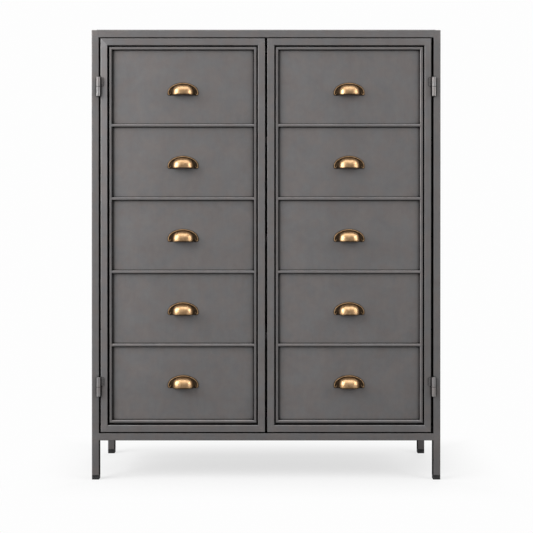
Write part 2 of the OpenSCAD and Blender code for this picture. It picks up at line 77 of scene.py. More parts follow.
for stray in [o for o in bpy.context.scene.objects if "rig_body" not in o and not o.name.startswith("body:")]:
    bpy.data.objects.remove(stray)
cadBounds = [list(corner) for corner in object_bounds()]

mm = 0.001
doorSides = ("left", "right")
pullNumbers = range(1, 6)

# meshes from parametric grids

mergeDistance = 2e-6
leastEdge = 1e-6


def gridFaces(rows, columns, wrap=False):
    # a grid's points are numbered row by row, and each quad joins a point, the one in the next column and
    # the two below them in the next row; wrap joins the last column to the first
    r = np.arange(rows - 1)[:, None] * columns
    c = np.arange(columns if wrap else columns - 1)[None, :]
    d = (c + 1) % columns
    return np.stack([r + c, r + d, r + columns + d, r + columns + c], -1).reshape(-1, 4)


def joinGrids(parts):
    # stacks (points, faces) pairs into one pair
    offsets = np.cumsum([0] + [len(points) for points, faces in parts[:-1]])
    return (np.concatenate([points for points, faces in parts]),
            np.concatenate([faces + k for (points, faces), k in zip(parts, offsets)]))


def meshFromGrid(name, points, faces, sharpDegrees, values=None):
    # quads into a mesh; poles and seams are merged and the normals turned outwards
    mesh = bpy.data.meshes.new(name)
    mesh.vertices.add(len(points))
    mesh.vertices.foreach_set("co", np.asarray(points, np.float32).ravel())
    mesh.loops.add(faces.size)
    mesh.loops.foreach_set("vertex_index", faces.astype(np.int32).ravel())
    mesh.polygons.add(len(faces))
    mesh.polygons.foreach_set("loop_start", np.arange(0, faces.size, 4, dtype=np.int32))
    mesh.update(calc_edges=True)
    for title, data in (values or {}).items():
        mesh.attributes.new(title, "FLOAT", "POINT").data.foreach_set("value", data.astype(np.float32))
    work = bmesh.new()
    work.from_mesh(mesh)
    bmesh.ops.remove_doubles(work, verts=work.verts, dist=mergeDistance)
    bmesh.ops.dissolve_degenerate(work, edges=work.edges, dist=leastEdge)
    bmesh.ops.recalc_face_normals(work, faces=work.faces)
    work.to_mesh(mesh)
    work.free()
    mesh.polygons.foreach_set("use_smooth", np.ones(len(mesh.polygons), bool))
    mesh.set_sharp_from_angle(angle=math.radians(sharpDegrees))
    return mesh


def addPiece(name, mesh, body, material, replaced):
    piece = bpy.data.objects.new(name, mesh)
    bpy.context.scene.collection.objects.link(piece)
    mesh.materials.append(material)
    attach(piece, body)
    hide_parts(*replaced)


def paint(material, *names):
    for name in names:
        nodes[name].data.materials.clear()
        nodes[name].data.materials.append(material)


# shader helpers

def feed(tree, sockets, inputs):
    # each input is a value or another node's output
    for name, value in inputs.items():
        if isinstance(value, bpy.types.NodeSocket):
            tree.links.new(value, sockets[name])
        else:
            sockets[name].default_value = value


def addNode(tree, kind, inputs=None, **settings):
    node = tree.nodes.new("ShaderNode" + kind)
    for name, value in settings.items():
        setattr(node, name, value)
    feed(tree, node.inputs, inputs or {})
    return node


def calc(tree, operation, *values, clamp=False):
    return addNode(tree, "Math", dict(enumerate(values)), operation=operation, use_clamp=clamp).outputs[0]


def sway(tree, value, amount, base, clamp=False):
    # base + amount * (value - 0.5)
    return calc(tree, "MULTIPLY_ADD", calc(tree, "SUBTRACT", value, 0.5), amount, base, clamp=clamp)


def remap(tree, value, low, high, toLow=0.0, toHigh=1.0, smooth=False):
    # low becomes toLow and high becomes toHigh, and past them it stays so
    kind = "SMOOTHSTEP" if smooth else "LINEAR"
    return addNode(tree, "MapRange", {"Value": value, "From Min": low, "From Max": high, "To Min": toLow,
                                      "To Max": toHigh}, interpolation_type=kind).outputs["Result"]


def mixValue(tree, factor, a, b):
    # a Mix node's sockets go by number because their names repeat: 2 and 3 are values, 6 and 7 colours
    return addNode(tree, "Mix", {0: factor, 2: a, 3: b}, data_type="FLOAT").outputs[0]


def mixColour(tree, factor, a, b, blend="MIX"):
    return addNode(tree, "Mix", {0: factor, 6: a, 7: b}, data_type="RGBA", blend_type=blend).outputs[2]


def tinted(tree, colour, tint):
    return mixColour(tree, 1.0, colour, tint, "MULTIPLY")


def shaded(tree, colour, shade):
    # the colour times one varying value
    grey = addNode(tree, "CombineColor", {"Red": shade, "Green": shade, "Blue": shade}).outputs[0]
    return tinted(tree, colour, grey)


def opaque(colour, tone=1.0):
    return [c * tone for c in colour] + [1.0]


def noise(tree, vector, scale, detail=3.0, rough=0.5, distort=0.0):
    return addNode(tree, "TexNoise", {"Vector": vector, "Scale": scale, "Detail": detail, "Roughness": rough,
                                      "Distortion": distort}).outputs["Fac"]


def bumpNormal(tree, height, strength, distance):
    bump = addNode(tree, "Bump", {"Height": height, "Strength": strength, "Distance": distance})
    return bump.outputs["Normal"]


def stretched(tree, vector, stretch):
    return addNode(tree, "VectorMath", {0: vector, 1: stretch}, operation="MULTIPLY").outputs[0]


def axes(tree, vector):
    return addNode(tree, "SeparateXYZ", {0: vector}).outputs


def newGroup(name, inputs, outputs):
    tree = bpy.data.node_groups.new(name, "ShaderNodeTree")
    for title, kind, value in inputs:
        socket = tree.interface.new_socket(title, in_out="INPUT", socket_type="NodeSocket" + kind)
        if value is not None:
            socket.default_value = value
    for title in outputs:
        tree.interface.new_socket(title, in_out="OUTPUT", socket_type="NodeSocketFloat")
    return tree, tree.nodes.new("NodeGroupInput").outputs, tree.nodes.new("NodeGroupOutput").inputs


def useGroup(tree, group, inputs):
    node = tree.nodes.new("ShaderNodeGroup")
    node.node_tree = group
    feed(tree, node.inputs, inputs)
    return node.outputs


def newMaterial(name):
    material = bpy.data.materials.new(name)
    material.use_nodes = True
    tree = material.node_tree
    return material, tree, tree.nodes["Principled BSDF"].inputs, addNode(tree, "TexCoord").outputs


# shared effects; a noise is given by its scale, detail, roughness and distortion

cloudLook = {
    "large": (4.0, 0.55, 0.6),           # these two without their scales
    "small": (5.0, 0.6, 0.3),
    "finer": 4.2,                        # scale of the small patches against the large ones
    "smallShare": 0.4,
    "spread": (0.33, 0.67),
    "castFiner": 2.1,
    "castShift": (3.1, 7.7, 1.9),
    "castSpread": (0.38, 0.62),
}
grainLook = {"broad": (1.0, 2.0, 0.5), "fine": (6.0, 2.0, 0.6)}
weldLook = {"broken": (150.0, 4.0, 0.6, 1.2), "spread": (0.35, 0.6)}
edgeHighlightLook = {
    "patches": (55.0, 4.0, 0.6),
    "spread": (0.3, 0.62),
    "rubbedHighlight": (0.35, 1.0),               # where the rubbed edge and its painted highlight are least and most
    "lean": (0.985, 0.80),               # largest part of the normal where the edge begins and is full
}
# painted seam shadows: how ragged their borders are and where the borders fade
seamShadowLook = {"ragged": 90.0, "raggedShare": 0.35, "border": (1.15, 0.75)}


def makeCloudGroup(look):
    # soft patches of two sizes and a slow drift between a warm and a cool cast, each from 0 to 1
    tree, given, out = newGroup("patinaClouds", [("Vector", "Vector", None), ("Scale", "Float", 8.0)],
                                ["Cloud", "Cast"])
    place, scale = given["Vector"], given["Scale"]
    large = noise(tree, place, scale, *look["large"])
    small = noise(tree, place, calc(tree, "MULTIPLY", scale, look["finer"]), *look["small"])
    both = calc(tree, "MULTIPLY_ADD", small, look["smallShare"],
                calc(tree, "MULTIPLY", large, 1 - look["smallShare"]))
    moved = addNode(tree, "VectorMath", {0: place, 1: look["castShift"]}, operation="ADD").outputs[0]
    cast = noise(tree, moved, calc(tree, "MULTIPLY", scale, look["castFiner"]))
    feed(tree, out, {"Cloud": remap(tree, both, *look["spread"]),
                     "Cast": remap(tree, cast, *look["castSpread"])})
    return tree


def makeGrainGroup(look):
    # brushing: noise drawn out along one direction by the Stretch vector, broad and fine, around 0.5
    tree, given, out = newGroup("brushedGrain",
                                [("Vector", "Vector", None), ("Stretch", "Vector", (1.0, 1.0, 1.0))],
                                ["Broad", "Fine"])
    drawn = stretched(tree, given["Vector"], given["Stretch"])
    feed(tree, out, {"Broad": noise(tree, drawn, *look["broad"]), "Fine": noise(tree, drawn, *look["fine"])})
    return tree


def makeWeldGroup(look):
    # 1 where a frame corner was welded and ground: closeness to the nearest of the corners at
    # x = +-NearX or +-FarX and z = LowZ or HighZ, broken up by noise
    tree, given, out = newGroup("groundWeld",
                                [("Vector", "Vector", None), ("NearX", "Float", 0.0), ("FarX", "Float", 0.5),
                                 ("LowZ", "Float", 0.1), ("HighZ", "Float", 1.4), ("Reach", "Float", 0.03)],
                                ["Mask"])
    parts = axes(tree, given["Vector"])

    def squaredGap(value, *middles):
        gaps = [calc(tree, "ABSOLUTE", calc(tree, "SUBTRACT", value, given[middle])) for middle in middles]
        return calc(tree, "POWER", calc(tree, "MINIMUM", *gaps), 2.0)

    across = squaredGap(calc(tree, "ABSOLUTE", parts["X"]), "NearX", "FarX")
    distance = calc(tree, "SQRT", calc(tree, "ADD", across, squaredGap(parts["Z"], "LowZ", "HighZ")))
    closeness = calc(tree, "SUBTRACT", 1.0, calc(tree, "DIVIDE", distance, given["Reach"]), clamp=True)
    broken = remap(tree, noise(tree, given["Vector"], *look["broken"]), *look["spread"])
    feed(tree, out, {"Mask": calc(tree, "MULTIPLY", closeness, broken)})
    return tree


def makeEdgeHighlightGroup(look):
    # rounded edges are where the normal leans away from all three axes: 1 at 45 degrees, 0 on a flat,
    # more in some places than in others; the mask makes them smoother as rubbed steel and paints a highlight on
    # them
    tree, given, out = newGroup("rubbedEdgeHighlight", [("Vector", "Vector", None), ("Normal", "Vector", None)],
                                ["Mask"])
    x, y, z = (calc(tree, "ABSOLUTE", part) for part in axes(tree, given["Normal"]))
    flat = calc(tree, "MAXIMUM", x, calc(tree, "MAXIMUM", y, z))
    rubbedHighlight = remap(tree, noise(tree, given["Vector"], *look["patches"]), *look["spread"], *look["rubbedHighlight"])
    feed(tree, out, {"Mask": calc(tree, "MULTIPLY", remap(tree, flat, *look["lean"]), rubbedHighlight)})
    return tree


def makeCreviceShadeGroup():
    # painted shade from ambient occlusion, darkest in gaps, grooves and corners: 1 out in the open, 0 deep in a
    # gap
    tree, given, out = newGroup("paintedCreviceShade", [("Reach", "Float", 0.009), ("Deep", "Float", 0.52),
                                            ("Clear", "Float", 0.93)], ["Open"])
    shelter = addNode(tree, "AmbientOcclusion", {"Distance": given["Reach"]}, samples=8).outputs["AO"]
    feed(tree, out, {"Open": remap(tree, shelter, given["Deep"], given["Clear"])})
    return tree


def makeSeamShadowGroup(look):
    # 1 on a strip of painted shadow beside a gap, as wide as Half on each side of Middle, with soft and ragged
    # borders
    tree, given, out = newGroup("paintedSeamShadow", [("Vector", "Vector", None), ("Value", "Float", 0.0),
                                              ("Middle", "Float", 0.5), ("Half", "Float", 0.001)], ["Mask"])
    away = calc(tree, "ABSOLUTE", calc(tree, "SUBTRACT", given["Value"], given["Middle"]))
    share = calc(tree, "DIVIDE", away, given["Half"])
    ragged = sway(tree, noise(tree, given["Vector"], look["ragged"]), look["raggedShare"], share)
    feed(tree, out, {"Mask": remap(tree, ragged, *look["border"])})
    return tree


cloudGroup, grainGroup = makeCloudGroup(cloudLook), makeGrainGroup(grainLook)
weldGroup, edgeHighlightGroup = makeWeldGroup(weldLook), makeEdgeHighlightGroup(edgeHighlightLook)
creviceShadeGroup, seamShadowGroup = makeCreviceShadeGroup(), makeSeamShadowGroup(seamShadowLook)

# gunmetal: satin lacquered steel

steelLook = {
    "dark": (0.117, 0.1135, 0.1125),     # linear colours
    "light": (0.165, 0.160, 0.1585),
    "warm": (1.055, 0.990, 0.975),       # casts that they are multiplied by
    "cool": (0.995, 0.998, 1.02),
    "level": 0.45,                       # from dark at 0 to light at 1
    "cloudScale": 13.0,
    "cloudShare": 0.42,                  # how far clouds, brushing and ground welds move the level
    "brushShare": 0.55,
    "weldShare": 0.6,
    "weldReach": 0.034,
    "broadWidth": 330.0,                 # streaks per metre across the brushing
    "broadLength": 7.0,                  # and along it
    "sheetGrain": (115.5, 115.5, 14.0),  # the same for sheets, along x, y and z
    "metallic": 0.35,
    "roughness": 0.56,
    "roughClouds": -0.10,                # what clouds, fine grain, rubbing and the painted gap shade add to the roughness
    "roughGrain": 0.22,
    "roughRubbed": -0.12,
    "roughGapShade": 0.4,
    "coat": 0.1,
    "coatRoughness": 0.3,
    "bump": (0.10, 0.0004),              # strength and depth
    "rubbedHighlight": 1.35,                      # how much brighter a rounded edge is painted: a painted highlight
    "gapShade": 0.03,                       # share of the colour that is left in the painted shade of the gaps
    "sheen": 0.35,                       # how clear of painted shade a place is before it shines as open steel does
}


def middleOf(name):
    low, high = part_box(name)
    return (low + high) / 2


# places on the right half, measured from the middle of the cabinet, and heights
beadWidth = 9.0 * mm
edges = {
    "post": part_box("front_right_post")[0].x,
    "hingeOuter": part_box("right_hinge_stile")[1].x,
    "hingeInner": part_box("right_hinge_stile")[0].x,
    "beadOuter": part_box("right_bead_stiles")[1].x - beadWidth,    # where the two bead uprights meet the sheet
    "beadInner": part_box("right_bead_stiles")[0].x + beadWidth,
    "meeting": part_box("right_meeting_stile")[0].x,
    "doorTop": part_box("right_hinge_stile")[1].z,
    "doorFoot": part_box("right_hinge_stile")[0].z,
    "railTop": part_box("bottom_front_rail")[1].z,
}
caseCorners = {"NearX": middleOf("front_right_post").x, "FarX": middleOf("front_right_post").x,
               "LowZ": middleOf("bottom_front_rail").z, "HighZ": middleOf("top_front_rail").z}
doorCorners = {"NearX": middleOf("right_meeting_stile").x, "FarX": middleOf("right_hinge_stile").x,
               "LowZ": middleOf("right_door_bottom_rail").z, "HighZ": middleOf("right_door_top_rail").z}
seamShadowPlaces = {                           # painted shadow strips beside the gaps: axis, where the middle lies along it, and half the width
    "post": ("X", edges["post"] + 0.5 * mm, 1.4 * mm),
    "leftHinge": ("X", edges["hingeInner"] - 0.25 * mm, 1.9 * mm),
    "rightHinge": ("X", edges["hingeOuter"] - 0.55 * mm, 1.7 * mm),
    "beadOuter": ("X", edges["beadOuter"] + 1.05 * mm, 0.9 * mm),
    "beadInner": ("X", edges["beadInner"] - 0.85 * mm, 0.7 * mm),
    "meeting": ("X", edges["meeting"] - 0.45 * mm, 1.1 * mm),
    "doorTop": ("Z", edges["doorTop"], 0.9 * mm),
    "doorFoot": ("Z", edges["doorFoot"], 1.2 * mm),
    "rail": ("Z", edges["railTop"], 1.2 * mm),
}
doorSheetLook = {
    "left": edges["beadOuter"], "right": edges["beadInner"],
    "leftReach": (0.001, 0.0085), "leftShade": 0.10,    # how far the painted shadow beside each upright reaches, and its shade
    "rightReach": (0.0, 0.011), "rightShade": 0.60,
    "sweepReach": (0.0, 0.26), "sweep": (1.07, 0.97),   # painted light that drifts across the sheet
    "under": {"Reach": 0.03, "Deep": 0.40, "Clear": 0.68},    # painted shadow under the pulls
    "underLeast": 0.35,
    "creviceShading": {"Reach": 0.004},
}
leafLook = {
    "pin": middleOf("right_hinge_pintles").x,
    "barrel": 6.0 * mm,                  # the leaf begins this far from the pin
    "border": 0.8 * mm,
    "mottle": (420.0, 4.0, 0.65),
    "spread": (0.35, 0.65),
    "shade": (0.30, 0.85),
}
barLook = {"under": (-0.15, -0.6, 1.0, 0.30), "over": (0.2, 0.7, 1.0, 1.2)}    # normal's z and its shade: painted light on the bars' upper sides, painted shade on their lower sides


def panelShade(tree, x, panel):
    # u runs across each door's sheet from the bead upright on its left, and rest is what is left of it
    # painted shadows beside both bead uprights, deepest right of the left one, and painted light that drifts
    # from left to right
    left, right = panel["left"], panel["right"]
    onRight = calc(tree, "GREATER_THAN", x, 0.0)
    u = calc(tree, "MULTIPLY_ADD", onRight, -(left + right), calc(tree, "ADD", x, left))
    rest = calc(tree, "SUBTRACT", left - right, u)
    beadShadows = calc(tree, "MULTIPLY",
                remap(tree, u, *panel["leftReach"], panel["leftShade"], 1.0, smooth=True),
                remap(tree, rest, *panel["rightReach"], panel["rightShade"], 1.0, smooth=True))
    return calc(tree, "MULTIPLY", beadShadows, remap(tree, u, *panel["sweepReach"], *panel["sweep"], smooth=True))


def darkerLeaf(tree, colour, place, leaf):
    # past the barrel a hinge leaf is darker and mottled
    fromPin = calc(tree, "SUBTRACT", leaf["pin"], calc(tree, "ABSOLUTE", axes(tree, place)["X"]))
    past = remap(tree, fromPin, leaf["barrel"], leaf["barrel"] + leaf["border"])
    mottle = remap(tree, noise(tree, place, *leaf["mottle"]), *leaf["spread"], *leaf["shade"])
    return mixColour(tree, past, colour, shaded(tree, colour, mottle))


def gunmetal(name, brushed="z", tone=1.0, streak=1.0, edgeHighlight=1.0, corners=None, seamShadows=(), leaf=None, panel=None,
             barLight=None, fade=None):
    # brushed is the axis of the brushing, or "" for sheets; tone scales the colour, streak the brushing and
    # the fifth argument the painted highlight on rounded edges; fade is two heights and the shade at each
    look = steelLook
    material, tree, surface, coords = newMaterial(name)
    place, normal = coords["Object"], coords["Normal"]
    parts = axes(tree, place)
    stretch = [look["broadLength"] if axis == brushed else look["broadWidth"] for axis in "xyz"]
    if not brushed:
        stretch = look["sheetGrain"]
    clouds = useGroup(tree, cloudGroup, {"Vector": place, "Scale": look["cloudScale"]})
    grain = useGroup(tree, grainGroup, {"Vector": place, "Stretch": stretch})
    level = sway(tree, clouds["Cloud"], look["cloudShare"], look["level"])
    level = sway(tree, grain["Broad"], look["brushShare"] * streak, level)
    if corners:
        weld = useGroup(tree, weldGroup, {"Vector": place, "Reach": look["weldReach"], **corners})["Mask"]
        level = calc(tree, "MULTIPLY_ADD", weld, look["weldShare"], level)
    cast = mixColour(tree, clouds["Cast"], opaque(look["warm"]), opaque(look["cool"]))
    colour = mixColour(tree, level, opaque(look["dark"], tone), opaque(look["light"], tone))
    colour = tinted(tree, colour, cast)
    if leaf:
        colour = darkerLeaf(tree, colour, place, leaf)
    if panel:
        # painted shadows and painted light on the door sheets
        colour = shaded(tree, colour, panelShade(tree, parts["X"], panel))
    # rounded edges get a painted highlight, and rubbing makes them smoother
    rubbedHighlight = useGroup(tree, edgeHighlightGroup, {"Vector": place, "Normal": normal})["Mask"]
    bright = opaque((1.0, 1.0, 1.0), look["rubbedHighlight"] * edgeHighlight)
    colour = mixColour(tree, rubbedHighlight, colour, tinted(tree, colour, bright))
    if fade:
        colour = shaded(tree, colour, remap(tree, parts["Z"], *fade))
    if barLight:                             # painted light and shade: upper sides lighter, lower sides darker
        up = axes(tree, normal)["Z"]
        shade = calc(tree, "MULTIPLY", remap(tree, up, *barLight["under"]), remap(tree, up, *barLight["over"]))
        colour = shaded(tree, colour, shade)
    # painted shade: the crevice group darkens the colour in gaps and corners, and the seam strips and the
    # shadow under the pulls add to it
    clear = useGroup(tree, creviceShadeGroup, panel["creviceShading"] if panel else {})["Open"]
    # painted shadows on strips beside the gaps
    for title in seamShadows:
        axis, middle, half = seamShadowPlaces[title]
        away = calc(tree, "ABSOLUTE", parts[axis])
        strip = {"Vector": place, "Value": away, "Middle": middle, "Half": half}
        seamShadow = useGroup(tree, seamShadowGroup, strip)["Mask"]
        clear = calc(tree, "MULTIPLY", clear, calc(tree, "SUBTRACT", 1.0, seamShadow))
    # painted shadow below the pulls, from ambient occlusion with a longer reach
    if panel:
        under = useGroup(tree, creviceShadeGroup, panel["under"])["Open"]
        clear = calc(tree, "MULTIPLY", clear, calc(tree, "MAXIMUM", under, panel["underLeast"]))
    gapShade = tinted(tree, colour, opaque((1.0, 1.0, 1.0), look["gapShade"]))
    rough = sway(tree, clouds["Cloud"], look["roughClouds"],
                 sway(tree, grain["Fine"], look["roughGrain"], look["roughness"]))
    rough = calc(tree, "MULTIPLY_ADD", rubbedHighlight, look["roughRubbed"], rough)
    shadedShare = calc(tree, "SUBTRACT", 1.0, clear)
    # where the painted shade is deep the metallic rises to 1, so that the darkened colour shows no sheen
    feed(tree, surface, {
        "Base Color": mixColour(tree, clear, gapShade, colour),
        "Roughness": calc(tree, "MULTIPLY_ADD", shadedShare, look["roughGapShade"], rough, clamp=True),
        "Metallic": remap(tree, clear, 0.0, look["sheen"], 1.0, look["metallic"]),
        "Coat Weight": calc(tree, "MULTIPLY", clear, look["coat"]),
        "Coat Roughness": look["coatRoughness"],
        "Normal": bumpNormal(tree, grain["Fine"], *look["bump"]),
    })
    return material


doorLooks = {                            # of the hinge stiles and of the bead uprights; the left hinge stile is a lighter copy and the right one a darker copy, painted light from the left, and both grow lighter towards the top
    "left": {"tone": 1.20, "fade": (0.5, 1.38, 0.90, 1.20), "beadSeamShadows": ["beadOuter", "beadInner"]},
    "right": {"tone": 0.93, "fade": (0.5, 1.38, 0.93, 1.06), "beadSeamShadows": ["beadInner"]},
}

paint(gunmetal("gunmetalPost", tone=0.92, corners=caseCorners, seamShadows=["post"]),
      "front_left_post", "front_right_post", "rear_left_post", "rear_right_post")
paint(gunmetal("gunmetalRail", "x", tone=0.94, corners=caseCorners, seamShadows=["rail"]),
      "top_front_rail", "top_rear_rail", "bottom_front_rail", "bottom_rear_rail", "stop_strip")
paint(gunmetal("gunmetalSideRail", "y"),
      "top_left_rail", "top_right_rail", "bottom_left_rail", "bottom_right_rail", "shelf_ledges")
paint(gunmetal("gunmetalSheet", "", streak=0.35), "top_sheet", "floor_sheet", "left_side_sheet",
      "right_side_sheet", "back_sheet", "lower_shelf", "middle_shelf", "upper_shelf")
paint(gunmetal("gunmetalDoorSheet", "", tone=1.01, streak=0.4, panel=doorSheetLook),
      "left_door_sheet", "right_door_sheet")
paint(gunmetal("gunmetalHinge", tone=1.42, streak=0.8, leaf=leafLook),
      "left_hinge_pintles", "left_hinge_sockets", "right_hinge_pintles", "right_hinge_sockets")
paint(gunmetal("gunmetalWasher", tone=0.3), "hinge_washers")
for side in doorSides:
    look = doorLooks[side]
    paint(gunmetal(side + "GunmetalHingeStile", tone=look["tone"], edgeHighlight=1.1, corners=doorCorners,
                   seamShadows=[side + "Hinge", "doorTop"], fade=look["fade"]), side + "_hinge_stile")
    paint(gunmetal(side + "GunmetalMeetingStile", edgeHighlight=0.75, corners=doorCorners,
                   seamShadows=["meeting", "doorTop"]), side + "_meeting_stile")
    paint(gunmetal(side + "GunmetalDoorRail", "x", tone=0.98, edgeHighlight=1.3, corners=doorCorners,
                   seamShadows=["doorTop", "doorFoot"]), side + "_door_top_rail", side + "_door_bottom_rail")
    paint(gunmetal(side + "GunmetalBeadUpright", tone=0.95, edgeHighlight=1.5, seamShadows=look["beadSeamShadows"]),
          side + "_bead_stiles")
    paint(gunmetal(side + "GunmetalBeadBar", "x", edgeHighlight=1.25, barLight=barLook), side + "_bead_rails")
print("gunmetal: done")

# rubber, plastic and plated steel

rubberLook = {
    "dark": (0.010, 0.010, 0.011),
    "dusty": (0.030, 0.029, 0.028),
    "dust": (120.0, 4.0, 0.6),
    "dustSpread": (0.5, 0.75),
    "roughness": (0.3, 0.7, 0.42, 0.62),     # two levels of the dust and the roughness at each
    "grain": (900.0, 3.0, 0.6),
    "bump": (0.25, 0.0003),
}
plasticLook = {
    "dark": (0.016, 0.016, 0.017),
    "worn": (0.028, 0.027, 0.026),
    "wear": (60.0, 4.0, 0.6),
    "roughness": 0.5,
    "grain": (1500.0, 2.0, 0.5),
    "bump": (0.3, 0.0002),
}
platedLook = {
    "dark": (0.42, 0.41, 0.40),
    "light": (0.60, 0.59, 0.56),
    "spangle": (260.0, 3.0, 0.5),
    "roughness": (0.3, 0.7, 0.26, 0.42),
}


def makeRubber(look):
    material, tree, surface, coords = newMaterial("footRubber")
    dust = noise(tree, coords["Object"], *look["dust"])
    dusty = remap(tree, dust, *look["dustSpread"])
    feed(tree, surface, {
        "Base Color": mixColour(tree, dusty, opaque(look["dark"]), opaque(look["dusty"])),
        "Roughness": remap(tree, dust, *look["roughness"]),
        "Normal": bumpNormal(tree, noise(tree, coords["Object"], *look["grain"]), *look["bump"]),
    })
    return material


def makePlastic(look):
    material, tree, surface, coords = newMaterial("catchPlastic")
    wear = noise(tree, coords["Object"], *look["wear"])
    feed(tree, surface, {
        "Base Color": mixColour(tree, wear, opaque(look["dark"]), opaque(look["worn"])),
        "Roughness": look["roughness"],
        "Normal": bumpNormal(tree, noise(tree, coords["Object"], *look["grain"]), *look["bump"]),
    })
    return material


def makePlated(look):
    material, tree, surface, coords = newMaterial("zincPlated")
    spangle = noise(tree, coords["Object"], *look["spangle"])
    feed(tree, surface, {
        "Base Color": mixColour(tree, spangle, opaque(look["dark"]), opaque(look["light"])),
        "Roughness": remap(tree, spangle, *look["roughness"]),
        "Metallic": 1.0,
    })
    return material


plated = makePlated(platedLook)
paint(makeRubber(rubberLook), "glides", "stop_bumpers")
paint(makePlastic(plasticLook), "catch_bodies")
paint(plated, "catch_magnets", "catch_screws", "hinge_pins")

# antique brass

brassLook = {
    "bright": (0.55, 0.355, 0.195),
    "worn": (0.43, 0.26, 0.125),
    "tarnishAndShade": (0.040, 0.026, 0.016),
    "patches": (130.0, 5.0, 0.6, 0.5),
    "patchSpread": (0.35, 0.65),
    "patchAge": 0.45,                    # how far patches move the tarnish up and down
    # painted crevice shade from ambient occlusion
    "creviceShading": {"Reach": 0.009, "Deep": 0.25, "Clear": 0.88},
    "gapShade": (0.10, 0.08, 0.06),         # shares of the colour that are left in the painted shade of the gaps
    "roughness": 0.33,
    "roughTarnish": 0.28,                # what tarnish and scratches add to it
    "roughScratch": 0.16,
    "scratches": (160.0, 700.0, 2400.0),     # per metre along x, y and z
    "scratchNoise": (1.0, 2.0, 0.5),
    "grain": (900.0, 3.0, 0.6),
    "bump": (0.06, 0.0003),
}


def makeBrass(look):
    # polished on the crests, browned where the tarnish attribute is high: tarnish in the hollows, and painted
    # shade on the hood's flanks, lip and front
    material, tree, surface, coords = newMaterial("antiqueBrass")
    place = coords["Object"]
    hollowAndShade = addNode(tree, "Attribute", attribute_name="tarnishAndShade").outputs["Fac"]
    patches = noise(tree, place, *look["patches"])
    scratch = noise(tree, stretched(tree, place, look["scratches"]), *look["scratchNoise"])
    age = sway(tree, patches, look["patchAge"], hollowAndShade, clamp=True)
    polished = mixColour(tree, remap(tree, patches, *look["patchSpread"]), opaque(look["bright"]),
                         opaque(look["worn"]))
    colour = mixColour(tree, age, polished, opaque(look["tarnishAndShade"]))
    # painted shade in the pull's crevices
    clear = useGroup(tree, creviceShadeGroup, look["creviceShading"])["Open"]
    rough = sway(tree, scratch, look["roughScratch"], look["roughness"])
    feed(tree, surface, {
        "Base Color": mixColour(tree, clear, tinted(tree, colour, opaque(look["gapShade"])), colour),
        "Roughness": calc(tree, "MULTIPLY_ADD", age, look["roughTarnish"], rough, clamp=True),
        "Metallic": 1.0,
        "Normal": bumpNormal(tree, noise(tree, place, *look["grain"]), *look["bump"]),
    })
    return material


brass = makeBrass(brassLook)

# cup pulls

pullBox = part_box("left_pull_1")
pullSize = {
    "halfWidth": (pullBox[1].x - pullBox[0].x) / 2,
    "height": pullBox[1].z - pullBox[0].z,
    "reach": pullBox[1].y - pullBox[0].y,
    "flangeEnd": 28.0 * mm,        # radius of the flange's outline at its ends
    "earRadius": 6.0 * mm,
    "earDrop": 1.0 * mm,           # the ears hang this far below the hood's lip
    "flange": 1.6 * mm,
    "rimRadius": 1.7 * mm,
    "rimInset": 2.4 * mm,
    "edgeRound": 0.6 * mm,
    "edgeShare": 0.35,             # share of the flange's thickness that stands upright at its edge
    "hoodHalf": 33.0 * mm,
    "hoodHeight": 32.6 * mm,
    "square": 2.8,                 # exponent of the hood's foot: 2 is an ellipse, more is squarer
    "bulge": 2.3,                  # exponent of the curve from the foot to the lip
    "wall": 2.0 * mm,
    "lipRound": 0.7 * mm,
    "lipFade": 3.0 * mm,           # where the lip is this near the flange, its round fades out
    "fillet": 2.0 * mm,
    "filletFade": 6.0 * mm,        # height over the lip by which the fillet is full
    "bossRadius": 3.8 * mm,
    "bossReach": 10.0 * mm,
    "screwPitch": 50.0 * mm,
    "screwHeight": 9.5 * mm,
}
pullSteps = {"web": 3, "ear": 30, "oval": 70, "flange": 34, "hood": 34, "lip": 7, "inside": 16, "boss": 25}
pullTarnishAndShade = {                    # 0 is polished, 1 is brown; the hood's lip, front and flanks carry painted shade
    "rimWear": 0.72,               # how much less there is on the rim's crest
    "rimBand": 1.1 * mm,
    "earBand": 2.0 * mm,           # the inner side of an ear is worn only this near its middle
    "flangeWear": 0.22,            # and how much less on the flange, in the middle of the pull
    "flangeBand": 0.7,             # share of the half width at which that ends
    "least": 0.06,                 # on the hood
    "footTop": 0.12,               # at the hood's foot, over the middle; on the flanks it is 1, painted shade
    "foot": (0.86, 0.12),          # level above which the foot's tarnish begins, and how soon it is full
    "flank": (1.6, 0.75),          # a flank is this times the share of the half width, less this; its darkness is painted shade
    # painted shade along the lip
    "lip": 0.95,
    "lipBand": 2.7 * mm,
    "front": 0.45,                 # on the hood's front, round the middle of the lip: painted shade
    "frontBand": (0.68, 0.45),     # level below which that begins, and how soon it is full
    "inside": 0.95,
    "boss": 0.9,
}


def spaced(count, start, end):
    return np.linspace(start, end, count)


def ramp(values):
    return np.clip(values, 0, 1)


def root(values):
    return np.sqrt(np.clip(values, 0, None))


def oval(halfWidth, height, end):
    # half an oval of three arcs over the x axis: small arcs of radius end, centred on the axis, and one
    # large arc centred below it; they meet where both radii stand at the same angle, turn
    large = (halfWidth ** 2 + height ** 2 - 2 * halfWidth * end) / (2 * (height - end))
    return {"x": halfWidth - end, "end": end, "large": large, "z": height - large,
            "turn": math.atan2(large - height, halfWidth - end)}


def ovalPoints(o, angles):
    # left half: at each angle the normal is (cos, sin)
    small = (angles > math.pi - o["turn"])[:, None]
    centre = np.where(small, [[-o["x"], 0.0]], [[0.0, o["z"]]])
    radius = np.where(small, o["end"], o["large"])
    return centre + radius * np.stack([np.cos(angles), np.sin(angles)], -1)


